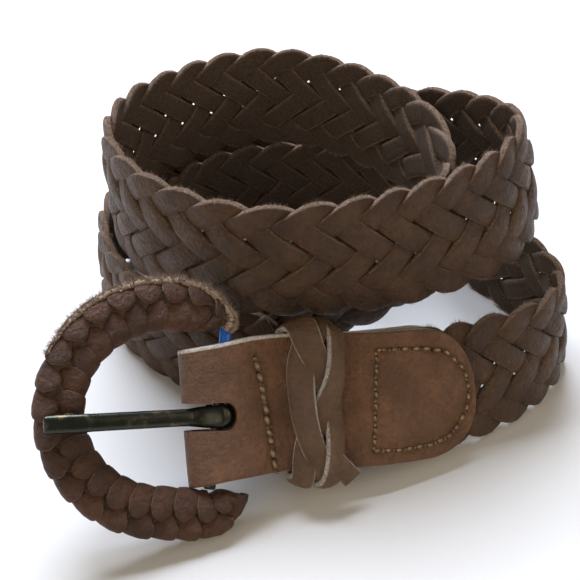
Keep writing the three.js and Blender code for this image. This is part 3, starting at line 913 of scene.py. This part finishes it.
prong = skin("blackened_prong", on_buckle(prong_points, prong_x, prong_y))
finish_piece(prong, blackened_steel(), "prong")
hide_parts("prong")

# The folded tab
# One strip of smooth waxed cowhide, 35 mm wide and 2 mm thick, folded round the crossbar with
# its ends over and under the braid. Its edges are raw, and a slot in the fold lets the prong by.

tab_width = 35
tab_length = 78.5
tab_rounding = 17
tab_thickness = 2
stitch_station = 20
fold_depth = 3.2
fold_skew = math.tan(math.radians(4))
sewn_half = 1.3
bar_half = 3.1
sandwich_half = 3.65
edge_round = 0.6
straight_end = tab_length - tab_rounding

# The layers' distance from the band's middle plane, by distance from the fold.
layer_rows = np.array([
    (straight_end - 0.5, sandwich_half),
    (50.4, sandwich_half),
    (45.6, 3.32),
    (38.6, 2.0),
    (30.9, 1.44),
    (stitch_station, sewn_half),
    (17.1, 1.95),
    (14.1, 2.81),
    (11.2, bar_half),
    (bar_station, bar_half),
])
fold_turn = np.radians(np.linspace(90, -90, 13))
fold_rows = np.stack([
    fold_depth * (1 - np.cos(fold_turn)), 0.9 * bar_half * np.sin(fold_turn)
], -1)
mirror = np.array([1, -1])
folded = np.concatenate([layer_rows, fold_rows, layer_rows[::-1] * mirror])
folded = spline(folded, np.linspace(0, 1, 2000))
folded_far = lengths_along(folded)
tab_step = 0.7
folded = columns(np.arange(0, folded_far[-1], tab_step), folded, folded_far)
end_turn = np.radians(np.arange(88.5, 0, -2.5))
end_rows = np.stack([
    straight_end + tab_rounding * np.sin(end_turn), np.full(len(end_turn), sandwich_half)
], -1)
tab_line = np.concatenate([end_rows, folded, (end_rows * mirror)[::-1]])
past_straight = np.clip((tab_line[:, 0] - straight_end) / tab_rounding, 0, 1)
tab_narrow = np.sqrt(1 - past_straight**2) ** 0.8
tab_run = unit(np.gradient(tab_line, axis=0))
tab_run[: len(end_rows)] = (-1, 0)
tab_run[-len(end_rows) :] = (1, 0)

near_edge = np.array([0.9, 0.93, 0.955, 0.972, 0.985, 0.995])
grain_x = np.concatenate([-near_edge[::-1], np.linspace(-0.87, 0.87, 55), near_edge])
back_steps = 15
back_x = np.linspace(0.97, -0.97, back_steps)
tab_x = np.concatenate([grain_x, [1, 1], back_x, [-1, -1]])
tab_depth = np.concatenate([np.ones(len(grain_x)), [0.4, -0.6], -np.ones(back_steps), [-0.6, 0.4]])
tab_side = np.concatenate([
    np.where(np.abs(grain_x) > 0.99, 0.45, 0), [1, 1], np.full(back_steps, 2.0), [1, 1]
])

# The seams, as (station, widthwise) points on the front: a D through the braid, and a short
# seam that closes the fold behind the crossbar.
d_seam = np.array([
    (46.3, -13.4), (47.2, -0.3), (48.0, 12.8), (55.1, 12.7), (62, 12.4), (69.2, 11.0),
    (75.4, 5.2), (76.2, -0.6), (74.6, -6.4), (68.4, -12.4), (62, -13.8), (54, -14.0), (46.3, -13.4),
])
fold_seam = np.array([(18.4, 12.2), (19.2, 4.7), (19.6, -6.3), (20.2, -17.6)])
d_stitch = 3.1
fold_stitch = 3.7


def seam_points(corners, step):
    """Points along a seam at an even step, running straight from corner to corner."""
    far = lengths_along(corners)
    count = round(far[-1] / step)
    return columns(np.linspace(0, far[-1], count + 1), corners, far)


def seam_depth(station, widthwise):
    """How far the leather is pulled in by the seams at a place."""
    depth = np.zeros_like(station)
    for corners, stitch, pull in ((d_seam, d_stitch, 0.38), (fold_seam, fold_stitch, 0.5)):
        line = seam_points(corners, 0.5)
        holes = seam_points(corners, stitch)
        for points, radius, share in ((line, 1.15, 0.6), (holes, 1.0, 0.6), (line, 3.2, 0.4)):
            gap = np.full(station.shape, 99.0)
            for point in points:
                gap = np.minimum(gap, np.hypot(station - point[0], widthwise - point[1]))
            depth += pull * share * np.exp(-((gap / radius) ** 2))
    return depth


def tab_points():
    """The tab's rings, from the front layer's end round the fold to the back layer's."""
    station, outwards = tab_line[:, :1], tab_line[:, 1:2]
    behind_bar = 1 - eased(station, bar_station, stitch_station)
    half = (tab_width + (fold_width - tab_width) * behind_bar) / 2
    widthwise = half * tab_narrow[:, None] * tab_x
    past = past_straight[:, None]
    share = np.abs(widthwise) / half
    outline = past**2 + share**2.5 - 1
    steepness = np.hypot(2 * past / tab_rounding, 2.5 * share**1.5 / half)
    from_edge = np.clip(-outline / np.maximum(steepness, 1e-4), 0, edge_round)
    drop = edge_round - np.sqrt(edge_round**2 - (edge_round - from_edge) ** 2)
    off = tab_depth * tab_thickness / 2 - np.where(tab_depth > 0.9, drop, 0)
    flat_station = station + fold_skew * widthwise * behind_bar
    ripple = 0.16 * wave(2, flat_station * 0.7 + widthwise * 0.9, 17)
    ripple += 0.1 * wave(7, widthwise - 0.3 * flat_station, 9)
    pulled = np.where(tab_depth > 0.9, seam_depth(flat_station, widthwise), 0)
    off = off + ripple * (1 - np.exp(-from_edge)) - pulled
    return np.stack([
        flat_station + tab_run[:, 1:2] * off, outwards - tab_run[:, :1] * off, widthwise
    ], -1)


tab_leather = leather(
    "waxed smooth cowhide", "#8a6040", "#6b4a2e", "#ece4da", "#8a7868", 0.4, 0.8, 1.0
)
# The fold's upper edge is skived, so its suede shows in front as far as the keeper.
skived_share, skived_to = 0.93, 27
skived = (tab_x > skived_share) & (tab_line[:, :1] < skived_to)
tab = skin("leather_tab", on_strap(tab_points()), np.where(skived, np.maximum(tab_side, 1), tab_side))

slot_half = eye_width / 2 + 0.6
slot_end = eye_middle + eye_wall / 2 + 0.6
slot_reach = 11
slot_outline = np.concatenate([
    [(-slot_reach, -slot_half)],
    arc((slot_end - slot_half * 0.7, 0), (slot_half * 0.7, slot_half), -90, 90, 17),
    [(-slot_reach, slot_half)],
]) + (0, prong_middle)
cut_height = 14
slot_rings = np.stack([
    np.column_stack([slot_outline, np.full(len(slot_outline), height)])
    for height in (cut_height, -cut_height)
])
hole_radius = 0.5
hole_reach = 6.0
hole_turn = np.radians(np.arange(0, 360, 45))
cutters = [skin("slot", on_buckle(slot_rings, prong_x, prong_y), np.ones(len(slot_outline)))]
for corners, stitch in ((d_seam, d_stitch), (fold_seam, fold_stitch)):
    places = seam_points(corners, stitch)
    closed = np.allclose(places[0], places[-1])
    for station, widthwise in places[: -1 if closed else None]:
        hole = np.stack([
            np.column_stack([
                station + hole_radius * np.cos(hole_turn),
                np.full(len(hole_turn), height),
                widthwise + hole_radius * np.sin(hole_turn),
            ])
            for height in (hole_reach, -hole_reach)
        ])
        cutters.append(skin("hole", on_strap(hole)))
cutter = joined("cutter", cutters)
bpy.ops.object.select_all(action="DESELECT")
tab.select_set(True)
bpy.context.view_layer.objects.active = tab
cut = tab.modifiers.new("slot and holes", "BOOLEAN")
cut.object = cutter
cut.operation = "DIFFERENCE"
cut.solver = "EXACT"
bpy.ops.object.modifier_apply(modifier=cut.name)
bpy.data.objects.remove(cutter)
bpy.ops.object.shade_smooth_by_angle(angle=math.radians(38))
finish_piece(tab, tab_leather, "strap")
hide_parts("buckle_tab")

# The stitching
# Waxed linen thread, cream gone brown, about 0.8 mm thick. It dives through an awl hole every
# 3 mm of the D seam. The fold's seam has longer, thicker and frayed stitches.

thread_turn = np.radians(np.arange(0, 360, 30))


def linen_thread():
    """Three-ply waxed linen: its plies slope across the thread, cream on their crowns and
    brown in the grooves between them and in noise patches."""
    material, tree, shader = new_material("waxed linen thread")
    place = add(tree, "ShaderNodeTexCoord")
    around = add(tree, "ShaderNodeSeparateXYZ", {0: place.outputs["UV"]})
    ply_length = 1.1 * MM
    plies = add(tree, "ShaderNodeMath", {
        0: around.outputs["Y"], 1: 1 / ply_length, 2: around.outputs["X"],
    }, operation="MULTIPLY_ADD")
    ridge = add(tree, "ShaderNodeMath", {0: plies.outputs[0], 1: 1.0}, operation="PINGPONG")
    grime = add(tree, "ShaderNodeTexNoise", {
        "Vector": place.outputs["Object"], "Scale": 1 / (1.6 * MM), "Detail": 4,
    }).outputs["Fac"]
    mixed = add(tree, "ShaderNodeMath", {0: ridge.outputs[0], 1: grime}, operation="MULTIPLY")
    share = add(tree, "ShaderNodeMapRange", {
        "Value": mixed.outputs[0], "From Min": 0.05, "From Max": 0.5,
    }).outputs["Result"]
    tone = add(tree, "ShaderNodeMix", {
        0: share, 6: linear("#3f2c1e"), 7: linear("#a08560"),
    }, data_type="RGBA").outputs[2]
    tree.links.new(tone, shader.inputs["Base Color"])
    shader.inputs["Roughness"].default_value = 0.8
    bump = add(tree, "ShaderNodeBump", {
        "Height": ridge.outputs[0], "Distance": 0.12 * MM, "Strength": 1.0,
    })
    tree.links.new(bump.outputs["Normal"], shader.inputs["Normal"])
    return material


def layer_half(station):
    """The tab layers' distance from the band's middle plane."""
    return np.interp(station, layer_rows[::-1, 0], layer_rows[::-1, 1])


def thread(name, corners, stitch, radius, face):
    """A thread along a seam on the front (face 1) or the back (-1), diving into each hole."""
    far = lengths_along(corners)
    count = round(far[-1] / stitch)
    travel = np.linspace(0, far[-1], count * 14 + 1)
    flat = columns(travel, corners, far)
    step = far[-1] / count
    from_hole = np.abs((travel / step + 0.5) % 1 - 0.5) * step
    dive = np.exp(-((from_hole / 0.42) ** 2))
    pulled = seam_depth(flat[:, 0], flat[:, 1])
    height = layer_half(flat[:, 0]) + tab_thickness / 2 - pulled + 0.6 * radius - 1.1 * dive
    bow = 0.12 * wave(face + 3, travel, 5)
    path = np.stack([flat[:, 0] + bow, height, flat[:, 1] - bow], -1)
    size = radius * (1 - 0.25 * dive) * (1 + 0.12 * wave(5, travel, 2.2))
    section = np.stack([np.cos(thread_turn), np.sin(thread_turn)], -1) * size[:, None, None]
    rings = rings_along(path, section)
    rings[..., 1] *= face
    return skin(name, on_strap(rings))


def frays(corners, radius):
    """Loose fibres that stand off a worn seam on the front."""
    made = []
    random = np.random.default_rng(4)
    for place in seam_points(corners, 1.5)[1:]:
        lean = random.normal(0, 1, 2)
        reach = random.uniform(0.5, 1.3)
        share = np.linspace(0, 1, 6)
        path = np.stack([
            place[0] + share * reach * lean[0],
            layer_half(place[0]) + tab_thickness / 2 - 0.2 + reach * 0.7 * np.sin(2.4 * share),
            place[1] + share * reach * lean[1],
        ], -1)
        size = radius * (1.1 - share)
        corner = np.radians([0, 90, 180, 270])
        section = np.stack([np.cos(corner), np.sin(corner)], -1) * size[:, None, None]
        made.append(skin("fray", on_strap(rings_along(path, section))))
    return made


linen = linen_thread()
d_threads = [thread("d", d_seam, d_stitch, 0.4, face) for face in (1, -1)]
d_thread = joined("d_seam_thread", d_threads)
finish_piece(d_thread, linen, "strap")
fold_threads = [thread("f", fold_seam, fold_stitch, 0.55, face) for face in (1, -1)]
fold_thread = joined("fold_seam_thread", fold_threads + frays(fold_seam, 0.1))
finish_piece(fold_thread, linen, "strap")

# The keeper
# A loop plaited from three flat leather strips, which slides on the tab. It hangs a little
# slack under it, and one strip's cut end sticks out below.

keeper_station = 31
keeper_width = 15.5
keeper_out = 5.6
keeper_top = 19.6
keeper_bottom = 20.6
keeper_corner = 3.6
plait_width = 6.0
plait_curl = 0.55
plait_roll = 0.5
plait_thickness = 1.75
plait_bulges = 4

keeper_leather = leather(
    "satin brown keeper leather", "#715539", "#583f29", "#d2c6b8", "#54453a", 0.38, 1.1, 0.7
)


def keeper_line():
    """The loop round the tab, as (outwards, widthwise) points from the front's middle up."""
    r = keeper_corner
    w, top, bottom = keeper_out, keeper_top, keeper_bottom
    line = np.concatenate([
        [(w, 0)],
        arc((w - r, top - r), (r, r), 0, 90, 24),
        arc((r - w, top - r), (r, r), 90, 180, 24),
        arc((r - w, r - bottom), (r, r), 180, 270, 24),
        arc((w - r, r - bottom), (r, r), 270, 360, 24),
        [(w, 0)],
    ])
    travel = lengths_along(line)
    even = np.linspace(0, travel[-1], 601)
    return even, columns(even, line, travel)


keeper_travel, keeper_loop = keeper_line()
keeper_length = keeper_travel[-1]


def on_keeper(place):
    """(travel round the loop, rise off it, across it) in mm, as (station, outwards, widthwise)."""
    travel = place[..., 0] % keeper_length
    middle = columns(travel, keeper_loop, keeper_travel)
    ahead = columns((travel + 0.3) % keeper_length, keeper_loop, keeper_travel)
    behind = columns((travel - 0.3) % keeper_length, keeper_loop, keeper_travel)
    run = unit(ahead - behind)
    off = np.stack([run[..., 1], -run[..., 0]], -1)
    flat = middle + off * place[..., 1:2]
    return np.stack([keeper_station + place[..., 2], flat[..., 0], flat[..., 1]], -1)


plait_period = 3 * keeper_length / plait_bulges
plait_phase = 0.05
plait_travel = np.linspace(0, 3 * keeper_length, 500, endpoint=False)
plait_turn = 2 * np.pi * (plait_travel / plait_period + plait_phase)
plait_swing = (keeper_width - plait_width) / 2 + 0.25
plait_path = np.stack([
    plait_travel,
    0.98 * np.sin(2 * plait_turn),
    plait_swing * np.sin(plait_turn) * (1 + 0.12 * np.cos(2 * plait_turn)),
], -1)
section, side = strip_section(plait_width, plait_thickness)
section[:, 1] -= plait_curl * (2 * section[:, 0] / plait_width) ** 2
plait_rings = rings_along(plait_path, section, -plait_roll * np.sin(plait_turn))
plait = skin("plait", on_strap(on_keeper(plait_rings)), side, loop=True)

# The strip's last end, cut off slanting below the loop's right side.
tail_share = np.linspace(0, 1, 24)[:, None]
tail_start = np.array([32.5, 4.6, -12.6])
tail_end = np.array([39.4, 5.4, -19.6])
tail_path = tail_start + (tail_end - tail_start) * tail_share
tail_path[:, 1] += 0.9 * np.sin(np.pi * tail_share[:, 0])
section, side = strip_section(5.4, 1.7)
tail = skin("tail", on_strap(rings_along(tail_path, section, 0.1)), side)
keeper = joined("keeper_plait", [plait, tail])
finish_piece(keeper, keeper_leather, "strap")
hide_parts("keeper")
